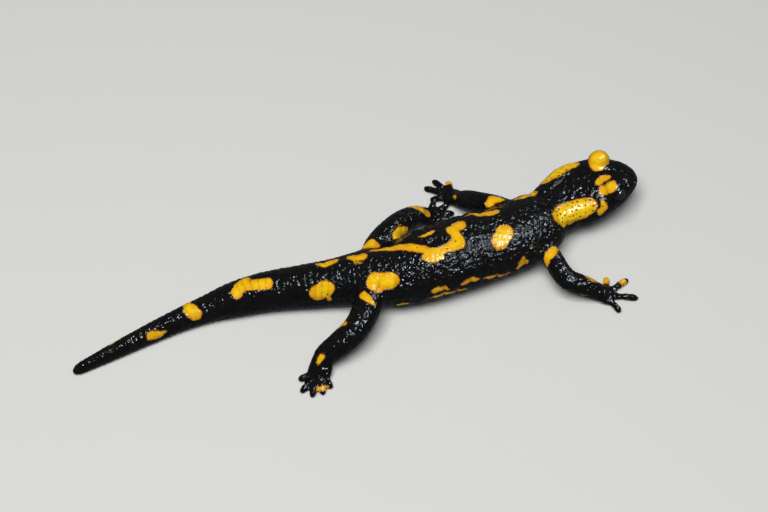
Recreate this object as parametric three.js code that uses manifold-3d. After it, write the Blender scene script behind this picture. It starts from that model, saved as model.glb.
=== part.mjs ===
// Fire salamander, a still, life-size model in its walking stance.
// Millimetres. +X runs from the tail to the snout, +Y is the animal's left and +Z is up. The soles, the
// belly and the tail's underside stand on z = 0, and the origin is on the floor in the middle of its box.
//
// The body is one tube along a bent spine, parted by thin cuts into head, jaw, neck, trunk and tail. Each
// leg is a second tube through its joints, cut off at the trunk and parted at elbow, wrist, knee and ankle.
import * as THREE from "three";
import { mergeVertices } from "three/addons/utils/BufferGeometryUtils.js";
import Module from "manifold-3d";

const wasm = await Module();
wasm.setup();

// ---- Driving dimensions -------------------------------------------------------------------------

const LENGTH = 188; // snout to tail tip, along the back
const SNOUT = { x: 92.5, y: 6.4 }; // where the tip of the snout stands on the floor plan
const GAP = 0.3; // the thin cut between two pieces
const SNOUT_ROUNDING = { sideways: 11, upright: 5.5 }; // how far back from its tip the snout rounds off
const SNOUT_BLUNTNESS = 2.3; // 2 rounds it off as an ellipse does, and more makes it blunter
const TAIL_ROUNDING = 2.5;
const WIDEST_AT = 0.46; // share of a section's height at which it is widest
const BELLY_SQUARENESS = 2.5; // exponent of the oval under the belly, where 2 is an ellipse

// Which way the animal faces, in degrees from +X towards +Y, by distance from the snout.
const HEADING = smooth([
  [0, 2],
  [12, -1],
  [21, 9],
  [31, 20],
  [41, 18],
  [51, -1],
  [64, 0],
  [79, 1],
  [91, -19],
  [104, -14],
  [117, -14.5],
  [131, -6.5],
  [147, 2.5],
  [164, 8.5],
  [LENGTH, 9],
]);

// Sections of head, trunk and tail: distance from the snout, full width, heights of the back and the belly.
const SECTIONS = [
  [0, 12.4, 13.1, 8.5],
  [4, 14.4, 14.2, 7.4],
  [9, 17.6, 15.3, 6.1],
  [13, 19.8, 15.6, 4.9],
  [17, 21, 15.5, 3.9],
  [22, 20.4, 15.3, 3.4],
  [27, 17.5, 15, 3.3],
  [31, 16.6, 15, 3],
  [36, 20.4, 16.6, 2.2],
  [42, 21.4, 17.8, 1.5],
  [52, 22.4, 18.7, 0.9],
  [63, 23.3, 19.4, 0.5],
  [75, 22.6, 19, 0.4],
  [85, 19.8, 17.5, 0.7],
  [94, 17.7, 16.2, 1],
  [103, 14.6, 14.2, 0.5],
  [111, 13.3, 13.4, 0],
  [121, 12.2, 12.4, -0.1],
  [133, 10.7, 10.9, -0.2],
  [146, 7.6, 8.1, -0.2],
  [159, 6, 6.6, -0.2],
  [174, 4.6, 5.2, -0.2],
  [183, 3.5, 4, -0.2],
  [LENGTH, 2.6, 3, -0.1],
];
const width = smooth(SECTIONS.map((row) => [row[0], row[1]]));
const back = smooth(SECTIONS.map((row) => [row[0], row[2]]));
const belly = smooth(SECTIONS.map((row) => [row[0], row[3]]));

// How square the oval over the back is. The crown of the head is flatter than the back.
const backSquareness = smooth([
  [0, 2.3],
  [12, 2.6],
  [22, 2.4],
  [32, 2.15],
  [LENGTH, 2.05],
]);

// The parotoid glands, long swellings on both sides of the head behind the eyes.
const PAROTOID = { at: 25, halfLength: 8.5, side: 48, spread: 28, swell: 1.1 };

// The eyes and the lids that bulge over them, by distance from the snout, out from the midline and up.
const EYE = { at: 9.9, out: 7.3, up: 14, radius: 2.35 };
const EYELID = { at: 10.3, out: 6.1, up: 14.9, long: 3.45, wide: 3.25, high: 3.25 };

// The mouth: height of the lip line by distance from the snout, and where the corner of the mouth is.
const MOUTH_CORNER = 16;
const lipLine = smooth([
  [-3, 10.1],
  [3, 9.5],
  [8, 8.8],
  [12, 7.7],
  [MOUTH_CORNER + 1, 5.9],
]);

// Lengths of body and tail, as [name, start, end, spacing of rings, points in a ring].
const HEAD_END = 28;
const TRUNK_PIECES = [
  ["neck", HEAD_END, 35, 2.1, 24],
  ["chest", 35, 50, 2.6, 24],
  ["belly", 50, 85, 3.2, 24],
  ["pelvis", 85, 103, 2.6, 24],
  ["tail_base", 103, 132, 3, 18],
  ["tail_middle", 132, 161, 3.2, 16],
  ["tail_tip", 161, LENGTH, 2.6, 14],
];

// A hand and a foot: the pad behind the toes, and the toes' lengths from the innermost outwards.
const HAND = { length: 4.2, halfWidth: 3.3, halfHeight: 1.5, toes: [4.2, 7.2, 7.6, 4.5], toeRadius: 1.1 };
const FOOT = { length: 4.8, halfWidth: 3.7, halfHeight: 1.7, toes: [3.5, 5, 6.2, 6.2, 4], toeRadius: 1.15 };
const TOE_ARCH = 0.5;

// Legs. Joints are [forward, outward, up, radius] from the spine at the leg's station. The pad and the toes
// point in degrees from forward towards outward.
const LEGS = [
  {
    parts: ["upper_arm_right", "forearm_right", "hand_right"],
    side: -1,
    station: 39,
    joints: [
      [-2, 4, 9.6, 3.6],
      [-3.2, 12, 9.2, 3.2],
      [-4.3, 20.9, 7.5, 3.2],
      [-0.9, 25.1, 5.3, 3.15],
      [2, 28.2, 3, 2.7],
    ],
    pad: HAND,
    padHeading: 48,
    toeHeadings: [-42, 0, 44, 93],
  },
  {
    parts: ["upper_arm_left", "forearm_left", "hand_left"],
    side: 1,
    station: 39,
    joints: [
      [-1.6, 4, 9.6, 3.6],
      [-2.6, 10.6, 9.2, 3.5],
      [-5.9, 18, 7.5, 3.4],
      [-7, 22.2, 5.3, 3.2],
      [-7.4, 25.4, 3, 2.7],
    ],
    pad: HAND,
    padHeading: 97,
    toeHeadings: [62, 91, 115, 144],
  },
  {
    parts: ["thigh_left", "shank_left", "foot_left"],
    side: 1,
    station: 93,
    joints: [
      [0.5, 3.5, 9.2, 4.4],
      [2.8, 10.3, 9.4, 4.3],
      [8, 17.2, 9, 4.1],
      [12, 21.9, 6.8, 3.8],
      [16, 25.4, 4.3, 3.2],
    ],
    pad: FOOT,
    padHeading: 18,
    toeHeadings: [-30, -8, 14, 38, 68],
  },
  {
    parts: ["thigh_right", "shank_right", "foot_right"],
    side: -1,
    station: 93,
    joints: [
      [0.5, 3.5, 9.2, 4.4],
      [-1, 10.8, 9.4, 4.3],
      [-4.8, 18.8, 9, 4.1],
      [-10.4, 23.2, 6.8, 3.8],
      [-14.8, 25.8, 4.3, 3.2],
    ],
    pad: FOOT,
    padHeading: 112,
    toeHeadings: [62, 86, 108, 130, 158],
  },
];
const LEG_RING_POINTS = 12;
const TOE_RING_POINTS = 8;

const SKIN = { color: 0x0b0b0d, roughness: 0.3, metalness: 0 };
const EYE_GLOSS = { color: 0x120b06, roughness: 0.05, metalness: 0 };

// ---- Curves -------------------------------------------------------------------------------------

// A smooth curve through [x, y] rows that never swings past them between two rows.
function smooth(rows) {
  const step = (i) => rows[i + 1][0] - rows[i][0];
  const slope = (i) => (rows[i + 1][1] - rows[i][1]) / step(i);
  const last = rows.length - 1;
  const tangents = rows.map((row, i) => {
    if (i === 0) return slope(0);
    if (i === last) return slope(last - 1);
    const before = slope(i - 1);
    const after = slope(i);
    if (before * after <= 0) return 0;
    const near = 2 * step(i) + step(i - 1);
    const far = step(i) + 2 * step(i - 1);
    return (near + far) / (near / before + far / after);
  });
  return (x) => {
    const at = Math.min(Math.max(x, rows[0][0]), rows[last][0]);
    let i = 0;
    while (i < last - 1 && at > rows[i + 1][0]) i += 1;
    const t = (at - rows[i][0]) / step(i);
    return (
      rows[i][1] * (1 + 2 * t) * (1 - t) ** 2 +
      step(i) * tangents[i] * t * (1 - t) ** 2 +
      rows[i + 1][1] * t * t * (3 - 2 * t) +
      step(i) * tangents[i + 1] * t * t * (t - 1)
    );
  };
}

// The spine on the floor plan, walked back from the snout in short steps.
const STEP = 0.25;
const SPINE = [{ x: SNOUT.x, y: SNOUT.y }];
for (let i = 0; i * STEP < LENGTH; i += 1) {
  const heading = THREE.MathUtils.degToRad(HEADING((i + 0.5) * STEP));
  SPINE.push({
    x: SPINE[i].x - Math.cos(heading) * STEP,
    y: SPINE[i].y - Math.sin(heading) * STEP,
  });
}

// The body's own frame at a distance from the snout: a point on the floor, and forward and left directions.
function frameAt(distance) {
  const steps = Math.min(Math.max(distance, 0), LENGTH) / STEP;
  const i = Math.min(Math.floor(steps), SPINE.length - 2);
  const t = steps - i;
  const heading = THREE.MathUtils.degToRad(HEADING(distance));
  const forward = new THREE.Vector3(Math.cos(heading), Math.sin(heading), 0);
  const point = new THREE.Vector3(
    THREE.MathUtils.lerp(SPINE[i].x, SPINE[i + 1].x, t),
    THREE.MathUtils.lerp(SPINE[i].y, SPINE[i + 1].y, t),
    0,
  );
  const beyond = Math.min(distance, 0);
  point.addScaledVector(forward, -beyond);
  return { point, forward, left: new THREE.Vector3(-forward.y, forward.x, 0) };
}

// A point by distance from the snout, out to the left and up from the floor.
function place(distance, left, up) {
  const frame = frameAt(distance);
  return frame.point.addScaledVector(frame.left, left).setZ(up);
}

// ---- Head, trunk and tail -----------------------------------------------------------------------

// How full a section is near the snout's tip and the tail's tip, from 0 at the tip to 1.
function fullness(distance, snoutRounding) {
  const snout = 1 - Math.min(distance / snoutRounding, 1);
  const tail = 1 - Math.min((LENGTH - distance) / TAIL_ROUNDING, 1);
  return (1 - snout ** SNOUT_BLUNTNESS) ** (1 / SNOUT_BLUNTNESS) * Math.sqrt(1 - tail ** 2);
}

// How far a parotoid gland lifts the skin, by distance from the snout and degrees from mid-back.
function glandLift(distance, degrees) {
  const along = (distance - PAROTOID.at) / PAROTOID.halfLength;
  const across = (Math.abs(degrees) - PAROTOID.side) / PAROTOID.spread;
  const inside = 1 - along * along - across * across;
  return inside > 0 ? PAROTOID.swell * Math.sqrt(inside) : 0;
}

// One ring of points round the body. Angles run from the middle of the back over the left side.
function bodyRing(distance, count, grow) {
  const fullWidth = fullness(distance, SNOUT_ROUNDING.sideways);
  const fullHeight = fullness(distance, SNOUT_ROUNDING.upright);
  const top = back(distance);
  const bottom = belly(distance);
  const middle = bottom + WIDEST_AT * (top - bottom);
  const ring = [];
  for (let i = 0; i < count; i += 1) {
    const degrees = (360 * i) / count;
    const angle = THREE.MathUtils.degToRad(degrees);
    const sine = Math.sin(angle);
    const cosine = Math.cos(angle);
    const squareness = cosine > 0 ? backSquareness(distance) : BELLY_SQUARENESS;
    const lift = grow + glandLift(distance, degrees > 180 ? degrees - 360 : degrees);
    const out = (fullWidth * width(distance)) / 2 + lift;
    const rise = fullHeight * (cosine > 0 ? top - middle : middle - bottom) + lift;
    const left = out * Math.sign(sine) * Math.abs(sine) ** (2 / squareness);
    const up = middle + rise * Math.sign(cosine) * Math.abs(cosine) ** (2 / squareness);
    ring.push(place(distance, left, grow ? up : Math.max(up, 0)));
  }
  return ring;
}

// Distances of the rings of one length of body, with more of them where a tip rounds off.
function ringDistances(start, end, spacing) {
  const count = Math.max(Math.round((end - start) / spacing), 2);
  const even = Array.from({ length: count + 1 }, (_, i) => start + ((end - start) * i) / count);
  if (start === 0) return [0.12, 0.45, 1, ...even.slice(1)];
  if (end === LENGTH) return [...even.slice(0, -1), LENGTH - 1, LENGTH - 0.5, LENGTH - 0.12];
  return even;
}

function bodyTube(start, end, spacing, count, grow = 0) {
  const rings = ringDistances(start, end, spacing).map((distance) => bodyRing(distance, count, grow));
  const tip = (distance) => {
    const middle = THREE.MathUtils.lerp(belly(distance), back(distance), WIDEST_AT);
    return place(distance, 0, middle);
  };
  return loft(rings, start === 0 ? tip(0) : null, end === LENGTH ? tip(LENGTH) : null);
}

// ---- Solids -------------------------------------------------------------------------------------

// A closed solid through rings that all run the same way round. An end without a tip is closed flat.
function loft(rings, startTip, endTip) {
  const count = rings[0].length;
  const middle = (ring) => ring.reduce((sum, p) => sum.add(p), new THREE.Vector3()).divideScalar(count);
  const points = [...rings.flat(), startTip ?? middle(rings[0]), endTip ?? middle(rings.at(-1))];
  const start = points.length - 2;
  const end = points.length - 1;
  const faces = [];
  for (let j = 0; j < count; j += 1) {
    const next = (j + 1) % count;
    for (let i = 0; i < rings.length - 1; i += 1) {
      const a = i * count + j;
      const b = i * count + next;
      faces.push(a, b, b + count, a, b + count, a + count);
    }
    const tail = (rings.length - 1) * count;
    faces.push(start, next, j, end, tail + j, tail + next);
  }
  const geometry = new THREE.BufferGeometry().setFromPoints(points);
  geometry.setIndex(faces);
  return solid(geometry);
}

function solid(geometry) {
  const plain = geometry.clone();
  plain.deleteAttribute("normal");
  plain.deleteAttribute("uv");
  const merged = mergeVertices(plain, 1e-4);
  return new wasm.Manifold(
    new wasm.Mesh({
      numProp: 3,
      vertProperties: new Float32Array(merged.attributes.position.array),
      triVerts: new Uint32Array(merged.index.array),
    }),
  );
}

// A ball squeezed to three radii, lying along the animal at a distance from the snout.
function ball(distance, left, up, long, wide, high, detail) {
  const { forward } = frameAt(distance);
  const geometry = new THREE.SphereGeometry(1, detail, detail / 2)
    .scale(long, wide, high)
    .rotateZ(Math.atan2(forward.y, forward.x));
  const centre = place(distance, left, up);
  return solid(geometry.translate(centre.x, centre.y, centre.z));
}

function mesh(name, made, look) {
  const { vertProperties, triVerts } = made.getMesh();
  const geometry = new THREE.BufferGeometry();
  geometry.setAttribute("position", new THREE.BufferAttribute(vertProperties, 3));
  geometry.setIndex(new THREE.BufferAttribute(triVerts, 1));
  geometry.computeVertexNormals();
  const piece = new THREE.Mesh(geometry, new THREE.MeshStandardMaterial(look));
  piece.name = name;
  return piece;
}

const salamander = new THREE.Group();
salamander.name = "fire_salamander";

// ---- Head, lower jaw and eyes -------------------------------------------------------------------

const SIDES = [
  ["left", 1],
  ["right", -1],
];
const HEAD_RING_POINTS = 28;
const HEAD_RING_SPACING = 1.8;

let head = bodyTube(0, HEAD_END - GAP, HEAD_RING_SPACING, HEAD_RING_POINTS);
for (const [, side] of SIDES) {
  head = head.add(
    ball(EYELID.at, side * EYELID.out, EYELID.up, EYELID.long, EYELID.wide, EYELID.high, 16),
  );
}
for (const [name, side] of SIDES) {
  const socket = EYE.radius + GAP;
  head = head.subtract(ball(EYE.at, side * EYE.out, EYE.up, socket, socket, socket, 16));
  const eye = ball(EYE.at, side * EYE.out, EYE.up, EYE.radius, EYE.radius, EYE.radius, 14);
  salamander.add(mesh("eye_" + name, eye, EYE_GLOSS));
}

// Everything of the head that lies under the lip line, in front of the corner of the mouth.
function belowLips(gap) {
  const reach = 20; // well past the cheeks and the chin
  const distances = [-3, 0, 3, 6, 9, 12, 15, MOUTH_CORNER + gap];
  const rings = distances.map((distance) => {
    const lip = lipLine(distance) + gap;
    return [
      place(distance, 0, lip),
      place(distance, reach, lip),
      place(distance, reach, -reach),
      place(distance, -reach, -reach),
      place(distance, -reach, lip),
    ];
  });
  return loft(rings, null, null);
}
salamander.add(mesh("head", head.subtract(belowLips(GAP)), SKIN));
salamander.add(mesh("lower_jaw", head.intersect(belowLips(0)), SKIN));

// ---- Neck, trunk and tail -----------------------------------------------------------------------

for (const [name, start, end, spacing, count] of TRUNK_PIECES) {
  const stop = end === LENGTH ? end : end - GAP;
  salamander.add(mesh(name, bodyTube(start, stop, spacing, count), SKIN));
}

// ---- Legs ---------------------------------------------------------------------------------------

// A rounded bar through points, each with its half width and half height. Its sole is flat on the floor.
function bar(stops, count, roundStart, roundEnd) {
  const rings = stops.map(({ point, along, halfWidth, halfHeight }) => {
    const side = new THREE.Vector3(0, 0, 1).cross(along).normalize();
    const up = along.clone().cross(side);
    return Array.from({ length: count }, (_, i) => {
      const angle = (2 * Math.PI * i) / count;
      const p = point.clone().addScaledVector(side, halfWidth * Math.cos(angle));
      p.addScaledVector(up, halfHeight * Math.sin(angle));
      return p.setZ(Math.max(p.z, 0));
    });
  });
  const tip = (stop, sign) => stop.point.clone().addScaledVector(stop.along, sign * stop.halfHeight * 0.4);
  return loft(rings, roundStart ? tip(stops[0], -1) : null, roundEnd ? tip(stops.at(-1), 1) : null);
}

// The stops of a bar along part of a curve, with its radius from a smooth table.
function stopsAlong(curve, radius, from, to, spacing) {
  const length = curve.getLength();
  const count = Math.max(Math.round(((to - from) * length) / spacing), 2);
  return Array.from({ length: count + 1 }, (_, i) => {
    const share = from + ((to - from) * i) / count;
    const halfWidth = radius(share);
    return {
      point: curve.getPointAt(share),
      along: curve.getTangentAt(share),
      halfWidth,
      halfHeight: halfWidth,
    };
  });
}

// A toe: a slim bar from inside the pad, arched over its middle joint, with a round tip on the floor.
function toe(root, direction, length, radius) {
  const stops = [
    [-0.3, 1],
    [0, 1],
    [0.35, 0.92],
    [0.68, 0.96],
    [0.88, 0.82],
    [0.97, 0.5],
  ].map(([share, thickness]) => {
    const half = radius * thickness;
    const arch = TOE_ARCH * Math.sin(Math.PI * Math.max(share, 0));
    const point = root.clone().addScaledVector(direction, share * length).setZ(half * 0.86 + arch);
    return { point, along: direction, halfWidth: half, halfHeight: half };
  });
  return bar(stops, TOE_RING_POINTS, false, true);
}

const trunkClearance = bodyTube(HEAD_END, 111, 2.6, 24, GAP);

for (const { parts, side, station, joints, pad, padHeading, toeHeadings } of LEGS) {
  const frame = frameAt(station);
  const outward = frame.left.clone().multiplyScalar(side);
  const toPlace = ([ahead, out, up]) => {
    const spot = frame.point.clone().addScaledVector(frame.forward, ahead);
    return spot.addScaledVector(outward, out).setZ(up);
  };
  const towards = (degrees) => {
    const angle = THREE.MathUtils.degToRad(degrees);
    const forward = frame.forward.clone().multiplyScalar(Math.cos(angle));
    return forward.addScaledVector(outward, Math.sin(angle));
  };

  // The leg's curve runs through its joints and on to the knuckles.
  const padDirection = towards(padHeading);
  const wrist = toPlace(joints.at(-1));
  const knuckles = wrist.clone().addScaledVector(padDirection, pad.length).setZ(pad.halfHeight * 0.9);
  const curve = new THREE.CatmullRomCurve3([...joints.map(toPlace), knuckles]);
  const total = curve.getLength();
  const lengths = curve.getLengths(200);
  const jointShare = (i) => lengths[Math.round((200 * i) / joints.length)] / total;
  const radius = smooth([...joints.map((joint, i) => [jointShare(i), joint[3]]), [1, pad.halfHeight]]);
  const bend = jointShare(2);
  const wristShare = jointShare(4);
  const cut = GAP / 2 / total;

  const upper = bar(stopsAlong(curve, radius, 0, bend - cut, 2.4), LEG_RING_POINTS, false, false);
  const lowerStops = stopsAlong(curve, radius, bend + cut, wristShare - cut, 2.2);
  const lower = bar(lowerStops, LEG_RING_POINTS, false, false);

  // The pad spreads and flattens from the wrist to the knuckles, and the toes grow out of it.
  const wristRadius = joints.at(-1)[3];
  const padStops = [
    [0.35, 0.9, 1.4],
    [0.7, 1, 1.1],
    [1, 0.9, 0.95],
    [1.18, 0.5, 0.6],
  ].map(([share, spread, flat]) => {
    const point = wrist.clone().lerp(knuckles, share);
    return {
      point: point.setZ(Math.max(point.z, 0.6)),
      along: padDirection,
      halfWidth: spread * pad.halfWidth,
      halfHeight: flat * pad.halfHeight,
    };
  });
  padStops.unshift({
    point: curve.getPointAt(wristShare + cut),
    along: curve.getTangentAt(wristShare),
    halfWidth: wristRadius,
    halfHeight: wristRadius,
  });
  let foot = bar(padStops, LEG_RING_POINTS, false, true);
  toeHeadings.forEach((degrees, i) => {
    const along = towards(degrees);
    const root = wrist.clone().addScaledVector(padDirection, pad.length * 0.62);
    root.addScaledVector(along, pad.halfWidth * 0.7);
    foot = foot.add(toe(root, along, pad.toes[i], pad.toeRadius));
  });

  [upper.subtract(trunkClearance), lower, foot].forEach((made, i) => {
    salamander.add(mesh(parts[i], made, SKIN));
  });
}

export default salamander;
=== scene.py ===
# Fire salamander (Salamandra salamandra), a still, life-size museum model in its walking stance.
# Metres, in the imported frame: +X runs from the tail to the snout, +Y is the animal's left and +Z is up.

import math

import bmesh
import bpy
import numpy as np
from mathutils import Matrix, Vector, noise


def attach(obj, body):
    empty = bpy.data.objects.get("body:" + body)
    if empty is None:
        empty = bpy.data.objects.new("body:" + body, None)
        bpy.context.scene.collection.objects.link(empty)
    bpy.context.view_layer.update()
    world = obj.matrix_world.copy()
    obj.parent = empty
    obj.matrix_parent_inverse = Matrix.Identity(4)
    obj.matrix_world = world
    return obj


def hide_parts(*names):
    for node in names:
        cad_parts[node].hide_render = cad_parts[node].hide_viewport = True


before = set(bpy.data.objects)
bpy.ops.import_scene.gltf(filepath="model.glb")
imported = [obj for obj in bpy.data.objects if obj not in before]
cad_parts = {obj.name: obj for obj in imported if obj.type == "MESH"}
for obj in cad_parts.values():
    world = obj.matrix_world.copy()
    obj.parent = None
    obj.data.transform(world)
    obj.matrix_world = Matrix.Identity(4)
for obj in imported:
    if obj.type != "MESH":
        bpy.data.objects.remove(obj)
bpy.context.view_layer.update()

# ---- Head, trunk and tail --------------------------------------------------------------------------------
# The body is one plump tube over a bent spine, from the blunt snout to the tail's tip. A living skin is a
# single wet sheet without scales, so it is modelled whole: first this tube, then the lids and the legs,
# which the skin's own section below joins into one surface.

MM = 0.001  # tables of sizes are in millimetres, and this brings them to metres
LENGTH = 188.0  # snout to tail tip, along the back
SNOUT = (92.5, 6.4)
SNOUT_ROUNDING_SIDEWAYS = 11.0  # how far back from its tip the snout rounds off
SNOUT_ROUNDING_UPRIGHT = 5.5
SNOUT_BLUNTNESS = 2.3
TAIL_ROUNDING = 2.5
WIDEST_AT = 0.46  # share of a section's height at which it is widest
BELLY_SQUARENESS = 2.5


def smooth(rows):
    """A smooth curve through (x, y) rows that never swings past them between two rows."""
    x, y = np.array(rows, float).T
    step = np.diff(x)
    slope = np.diff(y) / step
    tangent = np.array([slope[0], *slope])
    for i in range(1, len(x) - 1):
        before, after = slope[i - 1], slope[i]
        near = 2 * step[i] + step[i - 1]
        far = step[i] + 2 * step[i - 1]
        tangent[i] = 0 if before * after <= 0 else (near + far) / (near / before + far / after)

    def value(at):
        at = np.clip(at, x[0], x[-1])
        i = np.clip(np.searchsorted(x, at) - 1, 0, len(x) - 2)
        t = (at - x[i]) / step[i]
        rise = y[i] * (1 + 2 * t) * (1 - t) ** 2 + y[i + 1] * t * t * (3 - 2 * t)
        return rise + step[i] * (tangent[i] * t * (1 - t) ** 2 + tangent[i + 1] * t * t * (t - 1))

    return value


# Which way the animal faces, in degrees from +X towards +Y, by distance from the snout.
heading_degrees = smooth([
    (0, 2), (12, -1), (21, 9), (31, 20), (41, 18), (51, -1), (64, 0), (79, 1), (91, -19), (104, -14),
    (117, -14.5), (131, -6.5), (147, 2.5), (164, 8.5), (LENGTH, 9),
])

# Sections of the body: distance from the snout, full width, height of the back, height of the belly.
SECTIONS = [
    (0, 12.4, 13.1, 8.5), (4, 14.4, 14.2, 7.4), (9, 17.6, 15.3, 6.1), (13, 19.8, 15.6, 4.9),
    (17, 21, 15.5, 3.9), (22, 20.4, 15.3, 3.4), (27, 17.5, 15, 3.3), (31, 16.6, 15, 3),
    (36, 20.4, 16.6, 2.2), (42, 21.4, 17.8, 1.5), (52, 22.4, 18.7, 0.9), (63, 23.3, 19.4, 0.5),
    (75, 22.6, 19, 0.4), (85, 19.8, 17.5, 0.7), (94, 17.7, 16.2, 1), (103, 14.6, 14.2, 0.5),
    (111, 13.3, 13.4, 0), (121, 12.2, 12.4, -0.1), (133, 10.7, 10.9, -0.2), (146, 7.6, 8.1, -0.2),
    (159, 6, 6.6, -0.2), (174, 4.6, 5.2, -0.2), (183, 3.5, 4, -0.2), (LENGTH, 2.6, 3, -0.1),
]
full_width = smooth([(row[0], row[1]) for row in SECTIONS])
back_height = smooth([(row[0], row[2]) for row in SECTIONS])
belly_height = smooth([(row[0], row[3]) for row in SECTIONS])
back_squareness = smooth([(0, 2.3), (12, 2.6), (22, 2.4), (32, 2.15), (LENGTH, 2.05)])

# The parotoid glands, long swellings on both sides of the head behind the eyes.
PAROTOID_AT, PAROTOID_HALF_LENGTH = 25.0, 8.5
PAROTOID_SIDE, PAROTOID_SPREAD = 48.0, 28.0  # degrees from the middle of the back
PAROTOID_SWELL = 1.1

SPINE_STEP = 0.25
spine_distance = np.arange(0, LENGTH + SPINE_STEP / 2, SPINE_STEP)
step_heading = np.radians(heading_degrees(spine_distance[:-1] + SPINE_STEP / 2))
spine_x = SNOUT[0] - np.concatenate([[0], np.cumsum(np.cos(step_heading))]) * SPINE_STEP
spine_y = SNOUT[1] - np.concatenate([[0], np.cumsum(np.sin(step_heading))]) * SPINE_STEP


def spine(distance):
    """The spine's point on the floor and its heading. Distances below 0 lie ahead of the snout."""
    heading = np.radians(heading_degrees(distance))
    ahead = -np.minimum(distance, 0)
    x = np.interp(distance, spine_distance, spine_x) + ahead * np.cos(heading)
    y = np.interp(distance, spine_distance, spine_y) + ahead * np.sin(heading)
    return x, y, heading


def place(distance, left, up):
    """Points by distance from the snout, out to the left and up from the floor, in millimetres."""
    x, y, heading = spine(distance)
    return np.stack([x - left * np.sin(heading), y + left * np.cos(heading), up + 0 * x], axis=-1)


def fullness(distance, rounding):
    """How full a section is near the two tips of the body, from 0 at a tip to 1."""
    snout = 1 - np.clip(distance / rounding, 0, 1)
    tail = 1 - np.clip((LENGTH - distance) / TAIL_ROUNDING, 0, 1)
    return (1 - snout**SNOUT_BLUNTNESS) ** (1 / SNOUT_BLUNTNESS) * np.sqrt(1 - tail**2)


def gland_inside(distance, degrees):
    """1 in the middle of a parotoid gland, 0 on its edge and below 0 outside it."""
    along = (distance - PAROTOID_AT) / PAROTOID_HALF_LENGTH
    across = (np.abs(degrees) - PAROTOID_SIDE) / PAROTOID_SPREAD
    return 1 - along**2 - across**2


def section_sizes(distance, degrees):
    """Reach sideways and upright, height of the widest line and squareness, at an angle from the back."""
    lift = PAROTOID_SWELL * np.sqrt(np.clip(gland_inside(distance, degrees), 0, 1))
    top, bottom = back_height(distance), belly_height(distance)
    middle = bottom + WIDEST_AT * (top - bottom)
    upper = np.abs(degrees) < 90
    half_height = np.where(upper, top - middle, middle - bottom)
    sideways = fullness(distance, SNOUT_ROUNDING_SIDEWAYS) * full_width(distance) / 2 + lift
    upright = fullness(distance, SNOUT_ROUNDING_UPRIGHT) * half_height + lift
    squareness = np.where(upper, back_squareness(distance), BELLY_SQUARENESS)
    return sideways, upright, middle, squareness


def on_body(distance, degrees):
    """Points on the body, by degrees from the middle of the back, which are positive over the left side."""
    sideways, upright, middle, squareness = section_sizes(distance, degrees)
    sine, cosine = np.sin(np.radians(degrees)), np.cos(np.radians(degrees))
    left = sideways * np.sign(sine) * np.abs(sine) ** (2 / squareness)
    up = middle + upright * np.sign(cosine) * np.abs(cosine) ** (2 / squareness)
    return place(distance, left, np.maximum(up, 0))


def tube(bm, rings, points, shape):
    """Adds a closed tube whose points are shape(share along it, degrees round it), in millimetres."""
    others = len(bm.verts)
    made = bmesh.ops.create_cone(bm, cap_ends=True, segments=points, radius1=1, radius2=1, depth=1)["verts"]
    edges = {edge for vert in made for edge in vert.link_edges}
    sides = [edge for edge in edges if abs(edge.verts[0].co.z - edge.verts[1].co.z) > 0.5]
    bmesh.ops.subdivide_edges(bm, edges=sides, cuts=rings - 2)
    verts = list(bm.verts)[others:]
    unit = np.array([vert.co for vert in verts])
    shares = np.clip(unit[:, 2] + 0.5, 0, 1)
    spots = shape(shares, np.degrees(np.arctan2(unit[:, 1], unit[:, 0])))
    for vert, spot in zip(verts, spots * MM):
        vert.co = spot


BODY_MESH = (520, 128)  # rings and points round each
TIP_SHARE = 0.0006  # the rings at both tips are small but not points
CROWDING = 0.25  # how much the rings crowd towards both tips, where the body rounds off
flesh = bmesh.new()


def body_shape(share, degrees):
    """The body as a tube's shape."""
    eased = 0.5 - 0.5 * np.cos(np.pi * (TIP_SHARE + (1 - 2 * TIP_SHARE) * share))
    distance = LENGTH * np.clip(CROWDING * eased + (1 - CROWDING) * share, TIP_SHARE, 1 - TIP_SHARE)
    return on_body(distance, degrees)


tube(flesh, *BODY_MESH, body_shape)

# ---- Legs ------------------------------------------------------------------------------------------------
# Four short, stout legs splay from the flanks. Each is a tube through shoulder or hip, elbow or knee and
# wrist or ankle, which flattens into a soft pad with four fingers or five toes, all flat-soled on the floor.

HAND = {
    "length": 4.2, "half_width": 3.3, "half_height": 1.5,
    "toes": (4.2, 7.2, 7.6, 4.5), "toe_radius": 1.1,
}
FOOT = {
    "length": 4.8, "half_width": 3.7, "half_height": 1.7,
    "toes": (3.5, 5, 6.2, 6.2, 4), "toe_radius": 1.15,
}
KNUCKLE_HEIGHT = 0.9  # in half heights of the pad
PAD_REACH = 1.28  # how far the pad reaches before it has rounded off, in its own lengths
PAD_TIP_HEIGHT = 0.6
TOE_ROOT_ALONG, TOE_ROOT_ASIDE = 0.62, 0.7  # in lengths and half widths of the pad
TOE_BURIED = 0.3  # how much of its length a toe runs on inside the pad
TOE_HEIGHT = 0.86  # of its middle in its own radii, so that its sole is flat on the floor
TOE_ARCH = 0.5
LIMB_MESH, PAD_MESH, TOE_MESH = (70, 40), (30, 40), (44, 24)  # rings and points round each
LINE_SAMPLES = 40  # on each stretch of a bent line

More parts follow.
